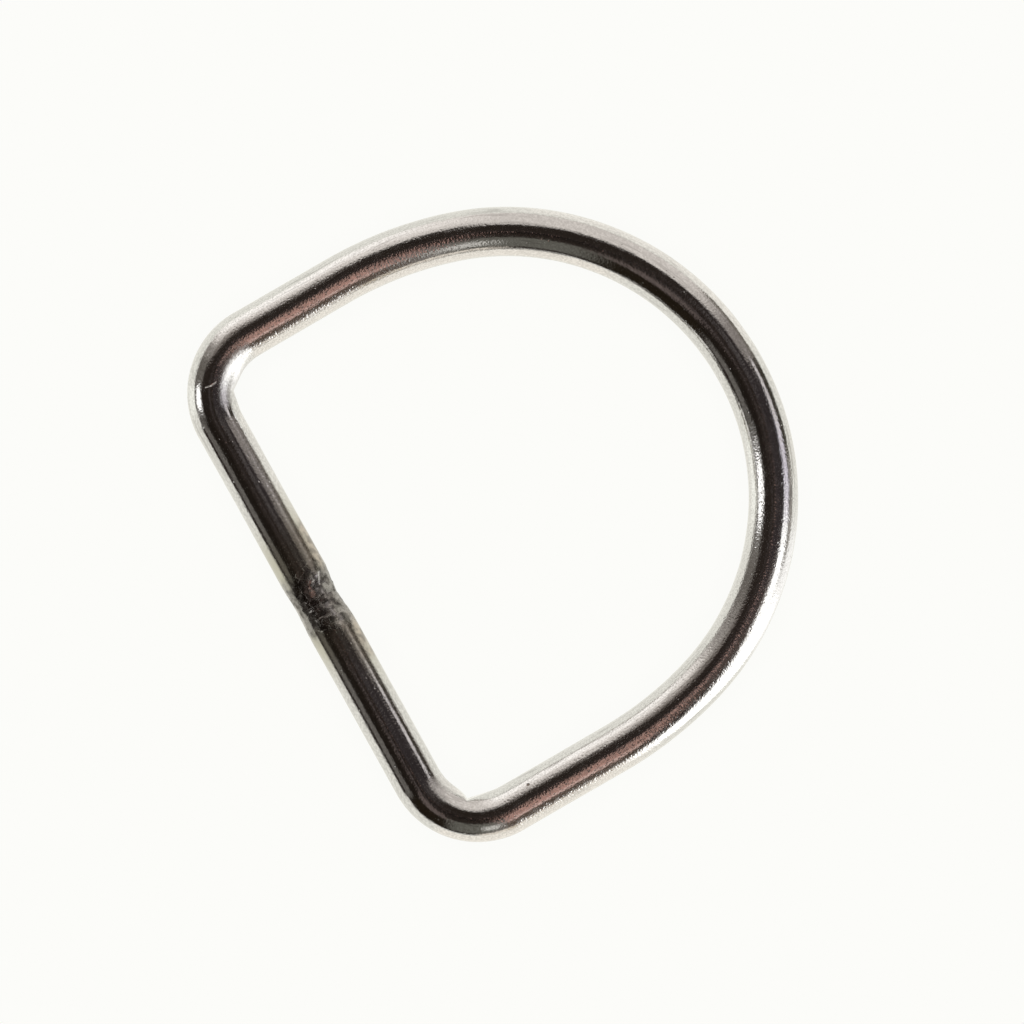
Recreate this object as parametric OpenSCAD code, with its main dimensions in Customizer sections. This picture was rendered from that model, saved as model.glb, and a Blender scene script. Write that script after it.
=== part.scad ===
// D ring of round wire, bent to shape and butt welded in the middle of its straight bar.
// It lies flat: bar along X on the -Y side, bow toward +Y, thickness along Z from 0 up.
// The origin is under the middle of its outline. Lengths are in millimetres.

/* [Wire] */

// Diameter of the round wire
wire_d = 5; // [3:0.1:6]
// How much thicker the wire is in its tight and gentle bends than along its straights
bend_gain = 0.02; // [0.02:0.01:0.2]

/* [Outline] */

// Clear width between the legs, which is the width of strap the bar takes
inner_w = 50; // [40:1:70]
// Bend radius of the two corners, on the wire's centreline
corner_r = 6.9; // [6:0.1:9]
// Straight length of an upright leg between its corner and its shoulder
leg_len = 11.2; // [6:0.1:25]
// How much gentler the shoulders are bent than a half circle between the legs would be
shoulder_over = 12.4; // [6:0.1:30]
// How much tighter the bow is bent than that half circle
bow_under = 0.55; // [0.3:0.05:2]

/* [Weld] */

// How far the waist of the ground weld lies below the wire's surface
neck_sink = 0.22; // [0.05:0.01:0.6]
// Length of bar that the waist takes up
neck_len = 4.8; // [2:0.1:10]

/* [Hidden] */

$fn = 96;

wire_r = wire_d / 2;
bend_wire_r = wire_r + bend_gain / 2;
half_w = inner_w / 2 + wire_r;
bar_half = half_w - corner_r;
shoulder_r = half_w + shoulder_over;
bow_r = half_w - bow_under;
// Each bend runs this far over the stretch of wire next to it
lap = 0.01 * wire_d;

// The two corners, as bent: one leg leans in a little and the other leans out.
// Where the former pressed into the inside of the bend it left two flats that meet in a crease.
// Columns: angle the corner turns, the crease's place in that turn (both in degrees from the
// bar), and how far it goes into the wire as a share of the wire's diameter
TURN = 0;
CREASE_AT = 1;
CREASE_DEPTH = 2;
right = [91, 49, 0.18];
left = [88.9, 32.5, 0.086];

// Points are measured from the middle of the bar's centreline, X toward the side's own corner.
// A heading is the direction the wire runs in, 0 along the bar and 90 straight up a leg.
corner_at = [bar_half, corner_r];
// Both shoulders are bent about centres at the height where an upright leg would end
shoulder_y = corner_r + leg_len;

function leg_end_y(side) = shoulder_y - shoulder_r * cos(side[TURN]);
function leg_of(side) =
    (leg_end_y(side) - corner_r * (1 - cos(side[TURN]))) / sin(side[TURN]);
function shoulder_x(side) =
    bar_half + (corner_r - shoulder_r) * sin(side[TURN]) + leg_of(side) * cos(side[TURN]);

// The bow runs on from both shoulders without a kink, so all three centres are in step
shoulder_gap = -(shoulder_x(right) + shoulder_x(left)) / 2;
bow_rise = sqrt(pow(shoulder_r - bow_r, 2) - pow(shoulder_gap, 2));
bow_at = [(shoulder_x(right) - shoulder_x(left)) / 2, shoulder_y + bow_rise];
bow_heading = 90 + atan2(bow_rise, shoulder_gap);

// How far the outline reaches to a side: the corner of a leg that leans in, or the shoulder
function reach(side) =
    bend_wire_r + (side[TURN] >= 90 ? half_w : shoulder_x(side) + shoulder_r);
low_y = -bend_wire_r;
high_y = bow_at[1] + bow_r + wire_r;
middle = [(reach(right) - reach(left)) / 2, (low_y + high_y) / 2];

// An arc of wire about a centre, from one heading to another
module arc(centre, bend_r, from, to, section_r) {
    translate(centre)
        rotate_extrude(angle = to - from, start = from - 90)
            translate([bend_r, 0])
                circle(section_r);
}

// A bend runs over its neighbours at both ends
module bend(centre, bend_r, from, to) {
    over = lap / bend_r * 180 / PI;
    arc(centre, bend_r, from - over, to + over, bend_wire_r);
}

// The bar narrows at its middle to the waist of the weld
module bar() {
    groove_r = (pow(neck_len / 2, 2) + pow(neck_sink, 2)) / (2 * neck_sink);
    rotate([0, 90, 0])
        difference() {
            cylinder(h = 2 * bar_half, r = wire_r, center = true);
            rotate_extrude()
                translate([wire_r - neck_sink + groove_r, 0])
                    circle(groove_r);
        }
}

module leg(side) {
    translate([bar_half + corner_r * sin(side[TURN]), corner_r * (1 - cos(side[TURN])), 0])
        rotate([0, 0, side[TURN]])
            rotate([0, 90, 0])
                cylinder(h = leg_of(side), r = wire_r);
}

module side_wire(side) {
    bend(corner_at, corner_r, 0, side[TURN]);
    leg(side);
    bend([shoulder_x(side), shoulder_y], shoulder_r, side[TURN], bow_heading);
}

// The space the crease takes from a corner: two faces that leave the inside of the bend
// at a shallow angle and meet on the crease
module crease(side) {
    inside_r = corner_r - bend_wire_r;
    tip_r = inside_r + side[CREASE_DEPTH] * wire_d;
    spread = acos(inside_r / tip_r);
    flank_r = 0.95 * inside_r;
    from = side[CREASE_AT] - spread;
    to = side[CREASE_AT] + spread;
    translate([corner_at[0], corner_at[1], -wire_d])
        linear_extrude(2 * wire_d)
            polygon([
                [0, 0],
                flank_r * [sin(from), -cos(from)],
                tip_r * [sin(side[CREASE_AT]), -cos(side[CREASE_AT])],
                flank_r * [sin(to), -cos(to)]
            ]);
}

module d_ring() {
    color([0.66, 0.64, 0.64])
        translate([-middle[0], -middle[1], bend_wire_r])
            difference() {
                union() {
                    bar();
                    side_wire(right);
                    mirror([1, 0, 0])
                        side_wire(left);
                    arc(bow_at, bow_r, bow_heading, 360 - bow_heading, wire_r);
                }
                crease(right);
                mirror([1, 0, 0])
                    crease(left);
            }
}

d_ring();
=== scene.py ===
"""A D ring of polished round steel wire, lying on a pale surface and seen from straight above.

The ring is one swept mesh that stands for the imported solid. It follows the same line, corner
creases and weld waist, and adds what the solid leaves out: the unevenness of bent and tumbled
wire, the ground weld's rough skin, the haze and scorch that its heat left on the bar, the rough
places beside the creases, grain, fine pits, drawn lines, two scratches and one larger pit.
"""

import math

import bpy
import numpy as np
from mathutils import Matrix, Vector, noise


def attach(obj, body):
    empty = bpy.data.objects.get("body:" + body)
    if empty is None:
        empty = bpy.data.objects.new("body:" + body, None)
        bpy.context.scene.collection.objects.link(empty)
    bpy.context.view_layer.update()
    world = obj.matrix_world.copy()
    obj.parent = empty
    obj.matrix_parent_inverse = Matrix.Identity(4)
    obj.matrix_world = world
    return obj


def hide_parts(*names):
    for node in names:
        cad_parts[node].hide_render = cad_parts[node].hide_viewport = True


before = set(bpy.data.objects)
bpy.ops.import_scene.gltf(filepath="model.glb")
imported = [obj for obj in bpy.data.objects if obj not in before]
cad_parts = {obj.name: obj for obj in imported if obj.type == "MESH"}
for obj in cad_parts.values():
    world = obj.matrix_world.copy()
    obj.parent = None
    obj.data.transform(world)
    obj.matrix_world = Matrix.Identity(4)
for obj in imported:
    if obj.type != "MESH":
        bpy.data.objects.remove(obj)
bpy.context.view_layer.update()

MM = 0.001

# noise_vector() takes its place in the noise from this seed, or from the clock without one
SEED = 5
noise.seed_set(SEED)

# The ring's line. Lengths are in mm, and the named ones are the solid's own.
WIRE_D = 5.0
BEND_GAIN = 0.02
INNER_W = 50.0
CORNER_R = 6.9
LEG_LEN = 11.2
SHOULDER_OVER = 12.4
BOW_UNDER = 0.55
NECK_SINK = 0.22

WIRE_R = WIRE_D / 2
BEND_WIRE_R = WIRE_R + BEND_GAIN / 2
HALF_W = INNER_W / 2 + WIRE_R
BAR_HALF = HALF_W - CORNER_R
SHOULDER_R = HALF_W + SHOULDER_OVER
BOW_R = HALF_W - BOW_UNDER
INSIDE_R = CORNER_R - BEND_WIRE_R
SHOULDER_Y = CORNER_R + LEG_LEN


class Side:
    """One side of the ring: its corner, the crease inside that corner, and its leg.

    turn and crease_at are in degrees from the bar: how far the corner turns, and where in
    that turn the crease lies. crease_depth is the solid's, as a share of the wire's diameter,
    and sunk is the share of it that shows. full_flank eases the crease's flank on the side
    of the bar: 0 leaves it flat, and the larger it is, the less deep it is cut.
    """

    def __init__(self, turn, crease_at, crease_depth, sunk, full_flank):
        self.turn = math.radians(turn)
        self.crease_at = math.radians(crease_at)
        self.tip_r = INSIDE_R + crease_depth * WIRE_D
        self.spread = math.acos(INSIDE_R / self.tip_r)
        self.sunk = sunk
        self.full_flank = full_flank
        s, c = math.sin(self.turn), math.cos(self.turn)
        self.leg = (SHOULDER_Y - SHOULDER_R * c - CORNER_R * (1 - c)) / s
        self.shoulder_x = BAR_HALF + (CORNER_R - SHOULDER_R) * s + self.leg * c


RIGHT = Side(91, 49, 0.18, 0.87, 0.7)
LEFT = Side(88.9, 32.5, 0.086, 1.0, 0.0)
SHOULDER_GAP = -(RIGHT.shoulder_x + LEFT.shoulder_x) / 2
BOW_RISE = math.sqrt((SHOULDER_R - BOW_R) ** 2 - SHOULDER_GAP ** 2)
BOW_HEADING = math.pi / 2 + math.atan2(BOW_RISE, SHOULDER_GAP)


def reach(side):
    """How far the outline reaches to a side: a corner that leans in, or the shoulder."""
    leans_in = side.turn >= math.pi / 2
    return BEND_WIRE_R + (HALF_W if leans_in else side.shoulder_x + SHOULDER_R)


MIDDLE_X = (reach(RIGHT) - reach(LEFT)) / 2
MIDDLE_Y = (SHOULDER_Y + BOW_RISE + BOW_R + WIRE_R - BEND_WIRE_R) / 2


def runs(side):
    """The stretches of wire from the bar's middle to the bow's top: (length, curvature)."""
    return [
        (BAR_HALF, 0.0),
        (CORNER_R * side.turn, 1 / CORNER_R),
        (side.leg, 0.0),
        (SHOULDER_R * (BOW_HEADING - side.turn), 1 / SHOULDER_R),
        (BOW_R * (math.pi - BOW_HEADING), 1 / BOW_R),
    ]


def half_length(side):
    return sum(length for length, _ in runs(side))


def half_line(side, lengths):
    """The centre and heading of the wire at each of these lengths from the bar's middle."""
    out = []
    for to_go in lengths:
        x = y = heading = 0.0
        for length, curve in runs(side):
            d = min(to_go, length)
            if curve:
                turned = heading + d * curve
                x += (math.sin(turned) - math.sin(heading)) / curve
                y += (math.cos(heading) - math.cos(turned)) / curve
                heading = turned
            else:
                x += d * math.cos(heading)
                y += d * math.sin(heading)
            to_go -= d
            if to_go <= 0:
                break
        out.append((x, y, heading))
    return np.array(out)


# Stations lie closer where the shape changes fast: at the weld and at the two creases
COARSE, FINE = 0.165, 0.075
WELD_REACH, CREASE_REACH = 4.4, 2.0


def stations(side):
    """Lengths from the bar's middle up to just short of the bow's top."""
    tip = BAR_HALF + CORNER_R * side.crease_at
    last = half_length(side) - COARSE / 2
    out, s = [], 0.0
    while s < last:
        out.append(s)
        s += FINE if s < WELD_REACH or abs(s - tip) < CREASE_REACH else COARSE
    return out


# Going round: right along the bar, up, over the bow, down the left side and back to the weld.
# The left side is the mirror of its own half line.
right_at = stations(RIGHT) + [half_length(RIGHT)]
left_at = stations(LEFT)[1:]
line = np.concatenate([half_line(RIGHT, right_at), half_line(LEFT, left_at)[::-1] * (-1, 1, -1)])
centre_x, centre_y = line[:, 0] - MIDDLE_X, line[:, 1] - MIDDLE_Y
inward_x, inward_y = -np.sin(line[:, 2]), np.cos(line[:, 2])

# Three measures along the wire: all the way round, from the bar's middle up either side, and
# the same but negative on the left
TOTAL = half_length(RIGHT) + half_length(LEFT)
along = np.concatenate([right_at, TOTAL - np.array(left_at)[::-1]])
on_right = np.arange(len(along)) < len(right_at)
from_bar = np.where(on_right, along, TOTAL - along)
signed = np.where(along > TOTAL / 2, along - TOTAL, along)
rings = len(along)

# Round the section: 0 on the ring's inside, 90 degrees on top
AROUND = 72
theta = np.arange(AROUND) * 2 * math.pi / AROUND
inward = np.cos(theta)[None, :]
upward = np.sin(theta)[None, :]
everywhere = np.ones((rings, AROUND))


def smooth(a, b, x):
    """A smooth step of x from 0 at a to 1 at b."""
    t = np.clip((x - a) / (b - a), 0, 1)
    return t * t * (3 - 2 * t)


def stretches(table, x):
    """1 within each stretch and 0 outside. A row says where it fades in and fades out."""
    return sum(smooth(a, b, x) * (1 - smooth(c, d, x)) for a, b, c, d in table)


# A crease's edges are rounded by this share of its depth, and it ends where it is so shallow
CREASE_SOFT, CREASE_LEAST = 0.12, 1e-5


def crease_push(side, s, from_centre):
    """How far the crease pushes points of a section away from the corner's centre."""
    angle = (s - BAR_HALF) / CORNER_R
    away = abs(angle - side.crease_at)
    cut = INSIDE_R / np.cos(max(side.spread - away, 0)) - INSIDE_R
    depth = side.sunk * cut
    if angle < side.crease_at:
        depth *= (cut / (side.tip_r - INSIDE_R)) ** side.full_flank
    if depth <= CREASE_LEAST:
        return 0.0
    over = INSIDE_R + depth - from_centre
    return 0.5 * (over + np.sqrt(over ** 2 + (CREASE_SOFT * depth) ** 2))


# The waist of the weld: half its length, its middle, and how much deeper it is on the ring's
# inside, where more was ground away, as a share
WAIST_HALF, WAIST_AT, WAIST_INSIDE = 3.4, -0.3, 0.4


def waist(s):
    """How far the weld's surface lies below the wire's, eased into the bar."""
    share = np.clip(np.abs(s - WAIST_AT) / WAIST_HALF, 0, 1)
    return NECK_SINK * 0.5 * (1 + np.cos(math.pi * share))


BEND_EASE = 1.0
corner_end = BAR_HALF + CORNER_R * np.where(on_right, RIGHT.turn, LEFT.turn)
bent = smooth(BAR_HALF - BEND_EASE, BAR_HALF + BEND_EASE, from_bar)
bent *= 1 - smooth(corner_end - BEND_EASE, corner_end + BEND_EASE, from_bar)
radius = (WIRE_R + (BEND_WIRE_R - WIRE_R) * bent)[:, None]
radius = radius - waist(signed)[:, None] * (1 + WAIST_INSIDE * inward)

across = radius * inward
for k in np.flatnonzero((from_bar > BAR_HALF) & (from_bar < corner_end)):
    side = RIGHT if on_right[k] else LEFT
    across[k] -= crease_push(side, from_bar[k], CORNER_R - across[k])

x = centre_x[:, None] + across * inward_x[:, None]
y = centre_y[:, None] + across * inward_y[:, None]
z = BEND_WIRE_R + radius * upward

# Drawn, bent and tumbled wire is uneven: the size of each wave and its height
WAVES = ((9.0, 0.020), (3.2, 0.009), (1.3, 0.0038))
# The weld's skin has lumps of one size, and tilted flakes of two sizes and their slopes. It
# ends raggedly, and is roughest on the ring's inside.
LUMP, LUMP_HEIGHT = 1.6, 0.030
FLAKES = ((1.1, 0.13), (0.62, 0.13))
WELD_AT, WELD_FROM, WELD_TO = -0.35, 2.0, 4.2
WELD_RAGGED, WELD_TOOTH = 0.9, 0.9
RUGGED, RUGGED_INSIDE = 0.65, 0.35
# These only choose which part of the noise is used
LUMP_SHIFT, FLAKE_SPREAD, FLAKE_SHIFT = Vector((7, 3, 1)), 7.3, Vector((2, 5, 9))


def flake(p, size):
    """The height of a tilted flake over its own middle, for a unit slope."""
    middle = noise.voronoi(p / size)[1][0]
    tilt = noise.noise_vector(middle * FLAKE_SPREAD + FLAKE_SHIFT)
    return (p / size - middle).dot(tilt) * size


lift = np.zeros((rings, AROUND))
weld = np.zeros((rings, AROUND))
for k in range(rings):
    for j in range(AROUND):
        p = Vector((x[k, j], y[k, j], z[k, j]))
        height = sum(high * noise.noise(p / size) for size, high in WAVES)
        from_weld = abs(signed[k] - WELD_AT) + WELD_RAGGED * noise.noise(p / WELD_TOOTH)
        if from_weld < WELD_TO:
            weld[k, j] = 1 - smooth(WELD_FROM, WELD_TO, from_weld)
            rugged = weld[k, j] * (RUGGED + RUGGED_INSIDE * inward[0, j])
            height += rugged * LUMP_HEIGHT * noise.noise(p / LUMP + LUMP_SHIFT)
            for size, slope in FLAKES:
                height += rugged * slope * flake(p, size)
        lift[k, j] = height
x += lift * (inward * inward_x[:, None])
y += lift * (inward * inward_y[:, None])
z = np.maximum(z + lift * upward, 0)

# Round the weld the heat left a dull haze: its middle, and how far it reaches before it fades
# and till it ends. On the ring's inside it ends further out, in full from this cosine up.
HAZE_AT, HAZE_FROM, HAZE_TO = -0.9, 4.2, 10.0
HAZE_INSIDE, HAZE_INSIDE_FULL = 4.0, 0.6
haze_to = HAZE_TO + HAZE_INSIDE * smooth(0.0, HAZE_INSIDE_FULL, inward)
haze = 1 - smooth(HAZE_FROM, haze_to, np.abs(signed - HAZE_AT)[:, None])

# It also scorched the ring's inside, a little toward the top and with ragged ends
SCORCH_AT, SCORCH_FROM, SCORCH_TO = -0.7, 5.6, 8.8
SCORCH_RAGGED, SCORCH_TOOTH, SCORCH_TEETH_ROUND = 1.8, 1.2, 2
SCORCH_SIDE, SCORCH_WIDE = math.radians(22), math.radians(40)
ragged = np.array([[noise.noise(Vector((s / SCORCH_TOOTH, math.cos(a) * SCORCH_TEETH_ROUND,
                                        math.sin(a) * SCORCH_TEETH_ROUND)))
                    for a in theta] for s in signed])
scorch = 1 - smooth(SCORCH_FROM, SCORCH_TO,
                    np.abs(signed - SCORCH_AT)[:, None] + SCORCH_RAGGED * ragged)
turn = (theta - SCORCH_SIDE + math.pi) % (2 * math.pi) - math.pi
scorch *= np.exp(-(turn / SCORCH_WIDE) ** 2)[None, :]

# The tumbled grain is coarser along the legs and shoulders than on the bar and bow
SMOOTH_GRAIN = 0.75
GRAINY = ((27.0, 32.0, 76.0, 90.0), (112.0, 128.0, 147.0, 151.0))
coarse_here = stretches(GRAINY, along)[:, None] * everywhere
grainy = SMOOTH_GRAIN + (1 - SMOOTH_GRAIN) * coarse_here

# It is deepest, and mottled, on the outside of the first shoulder near the wire's top. The
# smooth stretches are mottled too, but less.
PITTED = ((41.0, 51.0, 60.0, 70.0),)
PITTED_ROUND = ((-0.02, 0.22, 0.60, 0.85),)
PITTED_GRAIN, PITTED_LEAST = 0.25, 0.4
pitted = stretches(PITTED, along)[:, None] * stretches(PITTED_ROUND, -inward)
grainy += PITTED_GRAIN * pitted
pitted = np.maximum(pitted, PITTED_LEAST * (1 - coarse_here))

# Beside each crease the former left the inside of the bend rough
CRUSHED = ((20.4, 21.8, 23.4, 24.8), (145.5, 148.5, 154.2, 156.4))
CRUSHED_FROM, CRUSHED_FULL = 0.05, 0.5
crushed = stretches(CRUSHED, along)[:, None] * smooth(CRUSHED_FROM, CRUSHED_FULL, inward)

# Where a point lies on the drawn wire: round it, and slowly along it
DRAWN_LEN = 60.0
drawn = np.stack([inward * everywhere, upward * everywhere,
                  (along / DRAWN_LEN)[:, None] * everywhere], -1)

section = np.arange(rings)[:, None] * AROUND
next_section = np.roll(section, -1, 0)
spot = np.arange(AROUND)[None, :]
next_spot = (spot + 1) % AROUND
quads = np.stack([section + spot, section + next_spot,
                  next_section + next_spot, next_section + spot], -1)

mesh = bpy.data.meshes.new("d_ring_wire")
mesh.from_pydata((np.stack([x, y, z], -1).reshape(-1, 3) * MM).tolist(), [],
                 quads.reshape(-1, 4).tolist())
mesh.shade_smooth()
mesh.validate()
ring = bpy.data.objects.new("d_ring_wire", mesh)
bpy.context.scene.collection.objects.link(ring)
for name, values in (("weld", weld), ("haze", haze), ("scorch", scorch), ("grainy", grainy),
                     ("crushed", crushed), ("pitted", pitted)):
    attribute = mesh.attributes.new(name, "FLOAT", "POINT")
    attribute.data.foreach_set("value", values.reshape(-1).astype(np.float32))
attribute = mesh.attributes.new("drawn", "FLOAT_VECTOR", "POINT")
attribute.data.foreach_set("vector", drawn.reshape(-1).astype(np.float32))

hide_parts("d_ring")
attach(ring, "root")


class Nodes:
    """Makes a tree's nodes in a few words. Inputs are sockets or plain values."""

    def __init__(self, tree):
        self.tree = tree
        tree.nodes.clear()

    def add(self, kind, inputs=(), **facts):
        node = self.tree.nodes.new(kind)
        for name, value in facts.items():
            setattr(node, name, value)
        for name, value in dict(inputs).items():
            self.put(node.inputs[name], value)
        return node

    def put(self, socket, value):
        if isinstance(value, bpy.types.NodeSocket):
            self.tree.links.new(value, socket)
        else:
            socket.default_value = value

    def math(self, op, *values):
        return self.add("ShaderNodeMath", enumerate(values), operation=op).outputs[0]

    def chain(self, op, values):
        """One operation over many values, such as their sum."""
        out, *others = values
        for value in others:
            out = self.math(op, out, value)
        return out

    def vector(self, op, *values, out=0):
        return self.add("ShaderNodeVectorMath", enumerate(values), operation=op).outputs[out]

    def noise(self, place, scale, detail):
        return self.add("ShaderNodeTexNoise", {"Vector": place, "Scale": scale,
                                               "Detail": detail}).outputs[0]

    def cells(self, place, scale):
        return self.add("ShaderNodeTexVoronoi", {"Vector": place, "Scale": scale}).outputs

    def step(self, x, lo, hi, to_lo=0.0, to_hi=1.0):
        """A smooth step of x from lo to hi."""
        node = self.add("ShaderNodeMapRange", interpolation_type="SMOOTHSTEP")
        for k, value in enumerate((x, lo, hi, to_lo, to_hi)):
            self.put(node.inputs[k], value)
        return node.outputs[0]

    def spots(self, place, scale, detail, *step):
        """A step of a noise."""
        return self.step(self.noise(place, scale, detail), *step)

    def edge(self, x, at, soft, *to):
        """A step of x that reaches as far as soft on both sides of an edge."""
        return self.step(x, self.math("SUBTRACT", at, soft), self.math("ADD", at, soft), *to)

    def mix(self, factor, a, b):
        """Colours a and b, each a socket or three numbers, by a factor of 0 to 1."""
        node = self.add("ShaderNodeMix", data_type="RGBA")
        for k, value in ((0, factor), (6, a), (7, b)):
            self.put(node.inputs[k], (*value, 1) if isinstance(value, tuple) else value)
        return node.outputs[2]


def linear(r, g, b):
    """An sRGB colour of 0 to 255 as linear light."""
    out = []
    for v in (r, g, b):
        v /= 255
        out.append(v / 12.92 if v <= 0.04045 else ((v + 0.055) / 1.055) ** 2.4)
    return tuple(out)


# The metal's colours, as plain reflectance, and one colour of painted shade for the weld
METAL = (0.74, 0.735, 0.725)
SPECKLED = (0.37, 0.36, 0.35)
HAZED = (0.52, 0.505, 0.435)
SCORCHED = (0.26, 0.235, 0.205)
SCORCHED_LIGHT = (0.47, 0.42, 0.36)
WELD_DARK = (0.19, 0.18, 0.168)
WELD_LIGHT = (0.52, 0.50, 0.475)
# Painted shade that darkens the weld where the wire mirrors the dark studio
PAINTED_WELD_SHADE = (0.07, 0.065, 0.055)
PIT_DARK = (0.20, 0.17, 0.15)

# Its relief: a noise's scale and detail or a pattern of cells' scale, and heights in metres.
# Scales count in a metre, but for the lines of the drawn wire in its radius. An edge is where
# a ding or pit of the pattern ends, from its middle out.
GRAIN_NOISE, GRAIN = (4400.0, 1.0), 0.0000125
DIE_NOISE, DIE_LINES = (9.0, 3.0), 0.0000090
DING_CELLS, DING_EDGE, DING = 1000.0, (0.03, 0.11), -0.000014
PEPPER_CELLS, PEPPER_EDGE, PEPPER = 2900.0, (0.08, 0.42), -0.000007
CHIP_CELLS, CHIP_SLOPE = 1350.0, 0.30
SKIN_NOISE, SKIN = (5200.0, 2.0), 0.000012

# Steps: from, to, and what they give before and after. These go by the cosine round the
# section, which is 1 on the ring's inside and -1 on its outside.
CHIPPED_INSIDE, CHIPPED_RIM = (-0.35, 0.35, 0.3, 1.0), (-0.85, -0.7, 0.6, 0.0)
# Where the weld gets painted shade: on the wire's outside and inside, not on its top or its
# outer rim
PAINTED_SHADE_OUTSIDE, PAINTED_SHADE_OFF_RIM = (-0.6, 0.1, 0.5, 0.0), (-0.97, -0.86, 0.0, 1.0)
PAINTED_SHADE_INSIDE = (0.35, 0.7, 0.0, 0.38)

# Spots that are darker or duller: a noise's scale and detail, and a step of it
DULL_SPOTS = (1150.0, 4.0, 0.50, 0.68)
WELD_SPOTS = (1300.0, 4.0, 0.38, 0.62)
SPECKLE = (5200.0, 1.0, 0.30, 0.70, 0.0, 0.36)
MOTTLE = (3000.0, 1.0, 0.40, 0.60, 0.0, 0.7)
# The speckle grows with the grain. Peppered pits are dark by their distance, drawn lines by
# how near a noise is to its middle value, and the lines are broken.
SPECKLE_BY_GRAIN = (SMOOTH_GRAIN, 1.0, 0.75, 1.0)
PEPPER_DARK = (0.10, 0.30, 0.55, 0.0)
LINE_NOISE, LINE_DARK = (3.4, 1.0), (0.006, 0.026, 0.5, 0.0)
LINE_BREAKS = (130.0, 2.0, 0.45, 0.58)

# Roughness of the polished metal, and what the rest of it adds
POLISHED = 0.09
DULL_ROUGH, HAZE_ROUGH, SCORCH_ROUGH, COARSE_ROUGH = 0.06, 0.06, 0.06, 0.04
CHIPPED_ROUGH, RUBBED_ROUGH, SCRATCH_ROUGH = 0.13, 0.22, 0.30

# Scratches, seen from above: start, end, width and depth in mm. One is bent and lies over the
# second corner. The other is on the weld and bares the metal by this share.
CORNER_SCRATCH = (((-24.55, -23.72), (-24.42, -23.12), 0.22, 0.030),
                  ((-24.42, -23.12), (-24.46, -22.53), 0.22, 0.030))
WELD_SCRATCH, BARED = ((-2.73, -22.79), (-1.72, -23.27), 0.30, 0.035), 0.9
# The pit beside the first corner: its place, the radii that its wall lies between, its depth
PIT_AT, PIT_WALL, PIT_DEPTH = (26.22, -14.74, 4.61), (0.08, 0.22), 0.04

steel = bpy.data.materials.new("polished_steel")
steel.use_nodes = True
n = Nodes(steel.node_tree)
place = n.add("ShaderNodeTexCoord").outputs["Object"]
welded, hazed, scorched, grained, rubbed, mottled = (
    n.add("ShaderNodeAttribute", attribute_name=name).outputs["Fac"]
    for name in ("weld", "haze", "scorch", "grainy", "crushed", "pitted"))
round_wire = n.add("ShaderNodeAttribute", attribute_name="drawn").outputs["Vector"]
inward_share = n.add("ShaderNodeSeparateXYZ", {"Vector": round_wire}).outputs["X"]
coarse = n.step(grained, SMOOTH_GRAIN, 1.0)


def scratch(start, end, wide, deep):
    """A groove between two points: where it cuts, 0 to 1, and its relief."""
    start = Vector((*start, 0)) * MM
    run = Vector((*end, 0)) * MM - start
    flat = n.vector("MULTIPLY", place, (1, 1, 0))
    off = n.vector("SUBTRACT", flat, tuple(start))
    at = n.vector("DOT_PRODUCT", off, tuple(run / run.length_squared), out=1)
    at = n.add("ShaderNodeClamp", {"Value": at}).outputs[0]
    foot = n.add("ShaderNodeVectorMath", {0: tuple(run)}, operation="SCALE")
    n.put(foot.inputs["Scale"], at)
    away = n.vector("DISTANCE", off, foot.outputs[0], out=1)
    cut = n.step(away, 0.0, wide * MM / 2, 1.0, 0.0)
    return cut, n.math("MULTIPLY", cut, -deep * MM)


# Grain of tumbled metal, faint lines left by the drawing die, small dings, and where the grain
# is coarse a peppering of fine pits
to_ding = n.cells(place, DING_CELLS)["Distance"]
to_pepper = n.cells(place, PEPPER_CELLS)["Distance"]
heights = [
    n.math("MULTIPLY", n.noise(place, *GRAIN_NOISE),
           n.math("MULTIPLY", n.math("ADD", grained, rubbed), GRAIN)),
    n.math("MULTIPLY", n.noise(round_wire, *DIE_NOISE), DIE_LINES),
    n.step(to_ding, *DING_EDGE, DING, 0.0),
    n.math("MULTIPLY", n.step(to_pepper, *PEPPER_EDGE, PEPPER, 0.0), coarse),
]

# The weld's skin has small tilted chips and a fine roughness, ground smoother on the outside
chipped = n.math("MULTIPLY", welded, n.math("ADD", n.step(inward_share, *CHIPPED_INSIDE),
                                            n.step(inward_share, *CHIPPED_RIM)))
chip = n.cells(place, CHIP_CELLS)
leaning = n.vector("SUBTRACT", chip["Color"], (0.5, 0.5, 0.5))
from_middle = n.vector("SUBTRACT", place, chip["Position"])
tilted = n.vector("DOT_PRODUCT", from_middle, leaning, out=1)
heights.append(n.math("MULTIPLY", n.math("MULTIPLY", tilted, CHIP_SLOPE), chipped))
skin = n.math("MULTIPLY", n.noise(place, *SKIN_NOISE), SKIN)
heights.append(n.math("MULTIPLY", skin, chipped))

corner_cuts, corner_grooves = zip(*(scratch(*part) for part in CORNER_SCRATCH))
bared, weld_groove = scratch(*WELD_SCRATCH)
from_pit = n.vector("DISTANCE", place, tuple(v * MM for v in PIT_AT), out=1)
pit = n.step(from_pit, PIT_WALL[0] * MM, PIT_WALL[1] * MM, 1.0, 0.0)
heights += [*corner_grooves, weld_groove, n.math("MULTIPLY", pit, -PIT_DEPTH * MM)]
bump = n.add("ShaderNodeBump", {"Height": n.chain("ADD", heights), "Strength": 1.0,
                                "Distance": 1.0})

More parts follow.
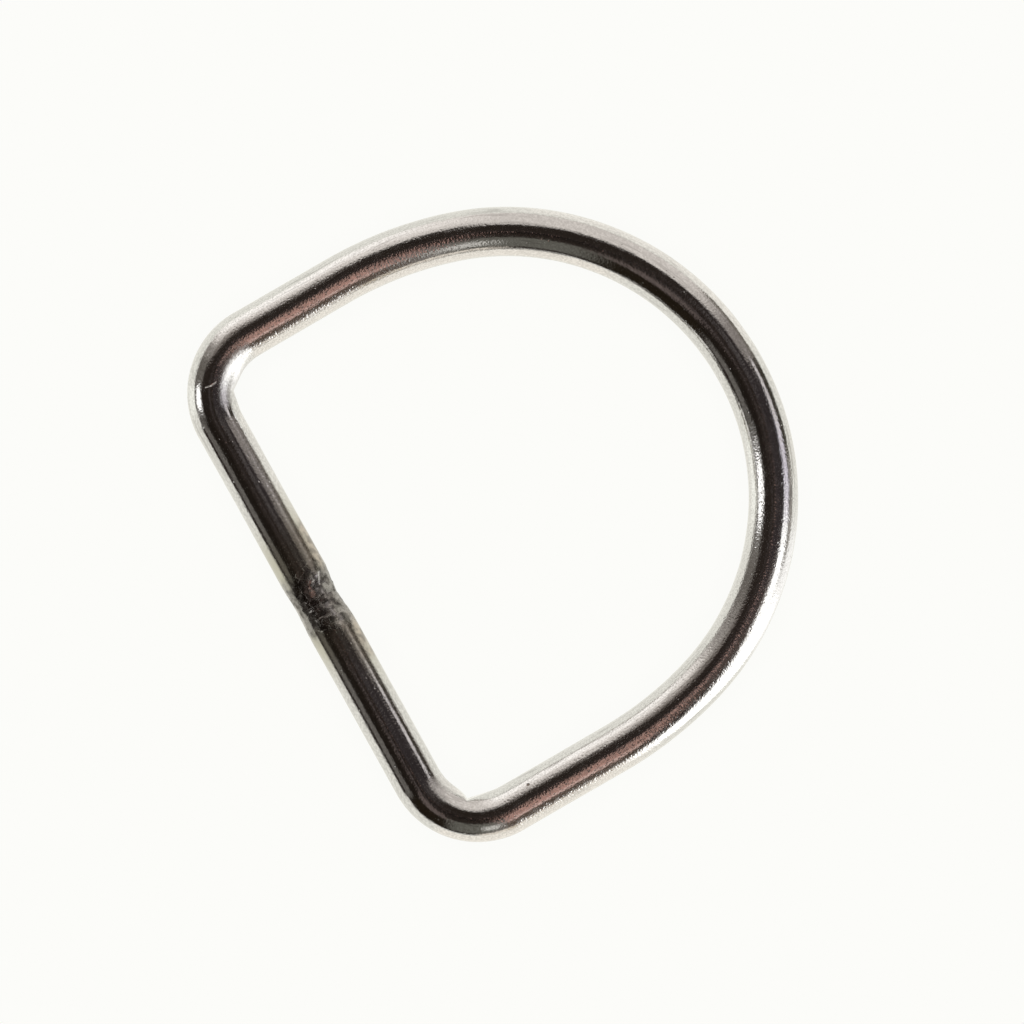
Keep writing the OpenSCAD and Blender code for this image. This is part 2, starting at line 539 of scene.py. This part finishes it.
# Bright metal with a fine speckle, darker on broken drawn lines, in fine pits and in mottles
speckle = n.math("MULTIPLY", n.spots(place, *SPECKLE), n.step(grained, *SPECKLE_BY_GRAIN))
bright = n.mix(speckle, METAL, SPECKLED)
from_line = n.math("ABSOLUTE", n.math("SUBTRACT", n.noise(round_wire, *LINE_NOISE), 0.5))
on_line = n.math("MULTIPLY", n.step(from_line, *LINE_DARK), n.spots(place, *LINE_BREAKS))
in_pepper = n.math("MULTIPLY", n.step(to_pepper, *PEPPER_DARK), coarse)
in_mottle = n.math("MULTIPLY", n.spots(place, *MOTTLE), mottled)
bright = n.mix(n.chain("MAXIMUM", (on_line, in_pepper, in_mottle)), bright, SPECKLED)

# Over it the haze, the scorch and the weld, which gets painted shade on both sides of its top,
# where the bar beside it mirrors the dark studio, and none on its outer rim, which mirrors the
# pale floor
weld_spots = n.spots(place, *WELD_SPOTS)
painted_shade_share = n.math("ADD", n.math("MULTIPLY", n.step(inward_share, *PAINTED_SHADE_OUTSIDE),
                             n.step(inward_share, *PAINTED_SHADE_OFF_RIM)),
               n.step(inward_share, *PAINTED_SHADE_INSIDE))
colour = n.mix(hazed, bright, HAZED)
colour = n.mix(scorched, colour, n.mix(weld_spots, SCORCHED, SCORCHED_LIGHT))
colour = n.mix(welded, colour, n.mix(painted_shade_share, n.mix(weld_spots, WELD_DARK, WELD_LIGHT), PAINTED_WELD_SHADE))
colour = n.mix(n.math("MULTIPLY", bared, BARED), colour, METAL)
colour = n.mix(pit, colour, PIT_DARK)

rough = POLISHED
for share, rougher in ((n.spots(place, *DULL_SPOTS), DULL_ROUGH), (hazed, HAZE_ROUGH),
                       (scorched, SCORCH_ROUGH), (chipped, CHIPPED_ROUGH),
                       (rubbed, RUBBED_ROUGH), (coarse, COARSE_ROUGH),
                       (n.chain("MAXIMUM", corner_cuts), SCRATCH_ROUGH)):
    rough = n.math("MULTIPLY_ADD", share, rougher, rough)
shader = n.add("ShaderNodeBsdfPrincipled", {
    "Base Color": colour, "Metallic": 1.0, "Roughness": rough, "Normal": bump.outputs[0]})
n.add("ShaderNodeOutputMaterial", {"Surface": shader.outputs[0]})
mesh.materials.append(steel)

# The pale surface it lies on. The camera sees the surface itself, with a little painted contact
# shadow close to the ring. The metal sees it as the lowest cards of the studio below.
PALE = linear(252, 252, 249)
FLOOR_HALF = 1.5
SHADE, SHADE_REACH = 0.02, 0.003
CORNERS = ((-1, -1), (1, -1), (1, 1), (-1, 1))
floor_mesh = bpy.data.meshes.new("floor")
floor_mesh.from_pydata([(i * FLOOR_HALF, j * FLOOR_HALF, 0) for i, j in CORNERS], [],
                       [(0, 1, 2, 3)])
floor = bpy.data.objects.new("floor", floor_mesh)
bpy.context.scene.collection.objects.link(floor)
floor.visible_glossy = False
floor.visible_diffuse = False
pale = bpy.data.materials.new("pale_surface")
pale.use_nodes = True
n = Nodes(pale.node_tree)
# The painted contact shadow: the glow is dimmed where little of the sky is open, close to the
# ring
open_sky = n.add("ShaderNodeAmbientOcclusion", {"Distance": SHADE_REACH}, samples=4)
glow = n.add("ShaderNodeEmission", {
    "Color": (*PALE, 1),
    "Strength": n.math("MULTIPLY_ADD", open_sky.outputs["AO"], SHADE, 1 - SHADE)})
n.add("ShaderNodeOutputMaterial", {"Surface": glow.outputs[0]})
floor_mesh.materials.append(pale)

# The wire mirrors the whole studio, so the studio is laid out in directions as soft-edged
# cards, each over the ones before it. Azimuth is anticlockwise from the picture's right, fall
# is the angle from straight up, and both are in degrees. A lean is how much further down a
# card's top or foot lies for each degree of azimuth past its middle. A colour is sRGB as the
# metal shows it, so a card's light is its colour over the reflectance of the speckled metal.
PICTURE_TURN = 60.977
METAL_MEAN = (0.68, 0.675, 0.665)
DARK_ROOM = (38, 32, 28)
# name, colour, power, azimuth from, to, soft sides, top, its lean, foot, its lean, soft ends
STUDIO = [
    ("dark_top", (25, 21, 19), 1, 232, 286, 14, -5, 0, 12, 0, 8),
    ("faint_top", (58, 52, 50), 1, 156, 192, 10, 2, 0, 12, 0, 5),
    ("cool_ceiling", (46, 41, 41), 1, -30, 40, 30, 5, 0, 60, 0, 10),
    ("ceiling_patch", (78, 73, 71), 1, 30, 41, 4, 6, 0, 26, 0, 5),
    ("dark_left", (29, 24, 20), 1, 188, 222, 8, 22, 0, 62, 0, 8),
    ("streak_left", (90, 80, 76), 1, 221, 249, 6, 17.5, 0.8, 43, 1.2, 6),
    ("streak_thin", (80, 72, 70), 1, 214, 230, 8, 7, 0, 15, 0, 5),
    ("streak_low", (76, 66, 61), 1, 302, 336, 12, 20, 0, 44, 0, 10),
    ("streak_high_end", (98, 87, 84), 1, 314, 332, 8, 5, 0, 20, 0, 5),
    ("streak_high", (146, 120, 112), 1, 301, 320, 6, 4, 0, 19.5, 0, 5),
    ("streak_start", (178, 143, 129), 1, 302, 310, 5, 6, 0, 19.5, 0, 5),
    ("wall_left", (127, 120, 115), 1, 29.5, 52, 2, 40, 0, 98, 0, 8),
    ("wall", (203, 196, 189), 1, 43.5, 96, 14, 34, -0.14, 95, 0, 13),
    ("wall_middle", (203, 196, 189), 1, 90, 124, 8, 39, 0, 95, 0, 12),
    ("wall_right", (112, 104, 98), 1, 123, 153, 6, 29, 0.1, 92, 0, 12),
    ("wall_right_low", (180, 173, 166), 1, 123, 144, 10, 46, 0, 92, 0, 20),
    ("wall_end", (132, 126, 120), 1, 143, 156, 8, 40, 0, 90, 0, 14),
    ("wall_light", (224, 217, 210), 1, 96, 140, 14, 56, 0, 95, 0, 24),
    ("wall_lamp", (246, 241, 235), 1, 108, 134, 12, 68, 0, 100, 0, 14),
    ("corner", (98, 93, 87), 1, 156, 173, 6, 45, 0, 86, 0, 12),
    ("lamp_glow", (104, 100, 95), 1, 173, 196, 8, 46, -0.2, 84, 0, 10),
    ("lamp", (255, 253, 250), 1.4, 174.2, 189.2, 4, 52, -0.3, 75, 0, 6),
    ("panel_left", (96, 92, 87), 1, 198, 217, 5, 51, 0, 74, 0, 6),
    ("dark", (31, 25, 18), 1, 220, 249, 6, 38, 0, 84, 0, 10),
    ("panel", (93, 91, 84), 1, 250, 286, 11, 29, 0, 77, 0, 10),
    ("panel_light", (190, 187, 180), 1, 274.5, 286, 4, 43, 0, 66, 0, 8),
    ("panel_edge", (112, 107, 103), 1, 284, 292, 3, 18, 0, 78, 0, 12),
    ("under_hand", (84, 73, 64), 1, 289, 303, 3, 47, 0, 86, 0, 8),
    ("skirt", (116, 106, 100), 1, 304, 345, 8, 48, -0.95, 112, 0, 16),
    ("hand", (160, 122, 111), 1, 290, 304.2, 2.5, 14, -0.3, 49, 0, 7),
    ("hand_light", (186, 148, 134), 1, 299.5, 305.4, 3, 12, 0, 46, 0, 8),
    ("hand_rim", (200, 173, 163), 1, 294, 305, 3, 39, 0, 48, 0, 4),
    ("far_floor", (214, 211, 203), 1, 138, 306, 10, 88, 0, 120, 0, 10),
    ("near_floor", (214, 211, 203), 1, 191, 202, 4, 81, 0, 100, 0, 9),
    ("near_floor_end", (214, 211, 203), 1, 214, 223, 4, 82, 0, 100, 0, 9),
    ("raised_floor", (214, 205, 192), 1, 271, 292, 6, 78, -0.1, 100, 0, 9),
    ("leg_floor", (232, 225, 217), 1, 296.5, 304, 3, 79.5, -3.0, 100, 0, 8),
    ("floor", (217, 215, 206), 1, -200, 200, 1, 93, 0, 200, 0, 7),
    ("lamp_floor", (238, 237, 228), 1, 174, 192, 8, 86, 0, 128, 0, 8),
    ("pale_floor", (228, 224, 215), 1, 32, 86, 12, 99, 0, 150, 0, 10),
    ("bright_floor", (243, 241, 237), 1, -32, -6, 12, 84, 0, 150, 0, 10),
    ("wall_foot", (108, 102, 94), 1, 29.8, 46, 1.2, 82, 0, 97, 0, 6),
    ("warm_floor", (229, 223, 212), 1, 244, 303, 10, 94, 0, 150, 0, 10),
    ("warm_edge", (190, 178, 158), 1, 290, 298, 3, 80, 0, 94, 0, 8),
    ("soft_box", (255, 254, 250), 1.8, 302.5, 338, 4, 58.5, -0.9, 112, 1.0, 14),
    ("soft_box_end", (255, 254, 250), 1.2, 335, 361, 6, 48, 0, 78, -0.8, 8),
    ("stripe", (203, 197, 205), 1, -4, 16, 4, 49.5, 0.23, 72.5, -0.1, 6),
    ("stripe_end", (200, 194, 192), 1, 14, 29.3, 2, 56, 0.3, 70.5, -0.1, 6),
    ("gap", (140, 135, 128), 1, -13, 12, 10, 76, 0, 96.5, 0, 6),
    ("gap_dark", (57, 53, 46), 1, 9, 29.3, 2, 74, 0, 96.8, 0.15, 6),
]


def lit(seen, power=1.0):
    """The light that the metal shows as this sRGB colour."""
    return (*[v * power / mean for v, mean in zip(linear(*seen), METAL_MEAN)], 1)


card = bpy.data.node_groups.new("studio_card", "ShaderNodeTree")
CARD_INPUTS = (("Before", "Color"), ("Azimuth", "Float"), ("Fall", "Float"),
               ("Light", "Color"), ("Middle", "Float"), ("Half", "Float"),
               ("Soft", "Float"), ("Top", "Float"), ("Top lean", "Float"),
               ("Foot", "Float"), ("Foot lean", "Float"), ("Soft ends", "Float"))
for name, kind in CARD_INPUTS:
    card.interface.new_socket(name, in_out="INPUT", socket_type="NodeSocket" + kind)
card.interface.new_socket("After", in_out="OUTPUT", socket_type="NodeSocketColor")
n = Nodes(card)
given = n.add("NodeGroupInput").outputs
past_middle = n.math("SUBTRACT", given["Azimuth"], given["Middle"])
past_middle = n.math("WRAP", past_middle, 180.0, -180.0)
soft_side = n.math("MULTIPLY", given["Soft"], 0.5)
soft_end = n.math("MULTIPLY", given["Soft ends"], 0.5)
top = n.math("MULTIPLY_ADD", past_middle, given["Top lean"], given["Top"])
foot = n.math("MULTIPLY_ADD", past_middle, given["Foot lean"], given["Foot"])
between_sides = n.edge(n.math("ABSOLUTE", past_middle), given["Half"], soft_side, 1.0, 0.0)
below_top = n.edge(given["Fall"], top, soft_end)
above_foot = n.edge(given["Fall"], foot, soft_end, 1.0, 0.0)
share = n.math("MULTIPLY", between_sides, n.math("MULTIPLY", below_top, above_foot))
n.add("NodeGroupOutput", {"After": n.mix(share, given["Before"], given["Light"])})

world = bpy.data.worlds.new("studio")
bpy.context.scene.world = world
world.use_nodes = True
world.cycles.sampling_method = "NONE"
n = Nodes(world.node_tree)
to = n.add("ShaderNodeSeparateXYZ",
           {"Vector": n.add("ShaderNodeTexCoord").outputs["Generated"]}).outputs
turned = n.math("DEGREES", n.math("ARCTAN2", to["Y"], to["X"]))
azimuth = n.math("SUBTRACT", turned, PICTURE_TURN)
fall = n.math("DEGREES", n.math("ARCCOSINE", to["Z"]))
light = lit(DARK_ROOM)
for name, seen, power, start, end, soft, *ends in STUDIO:
    half = (end - start) / 2
    node = n.add("ShaderNodeGroup", node_tree=card, name=name, label=name)
    values = (light, azimuth, fall, lit(seen, power), start + half, half, soft, *ends)
    for socket, value in zip(node.inputs, values):
        n.put(socket, value)
    light = node.outputs[0]
seen_by_camera = n.add("ShaderNodeLightPath").outputs["Is Camera Ray"]
background = n.add("ShaderNodeBackground", {"Color": n.mix(seen_by_camera, light, PALE)})
n.add("ShaderNodeOutputWorld", {"Surface": background.outputs[0]})

# The camera looks straight down on the ring, turned as the picture is
CAMERA_AT = (0.001396, -0.002818, 0.43435)
LENS, SENSOR = 150, 36
camera_data = bpy.data.cameras.new("camera")
camera_data.lens = LENS
camera_data.sensor_width = SENSOR
camera = bpy.data.objects.new("camera", camera_data)
camera.location = CAMERA_AT
camera.rotation_euler = (0, 0, math.radians(PICTURE_TURN))
bpy.context.scene.collection.objects.link(camera)
bpy.context.scene.camera = camera
bpy.context.scene.view_settings.view_transform = "Standard"

bpy.context.view_layer.update()
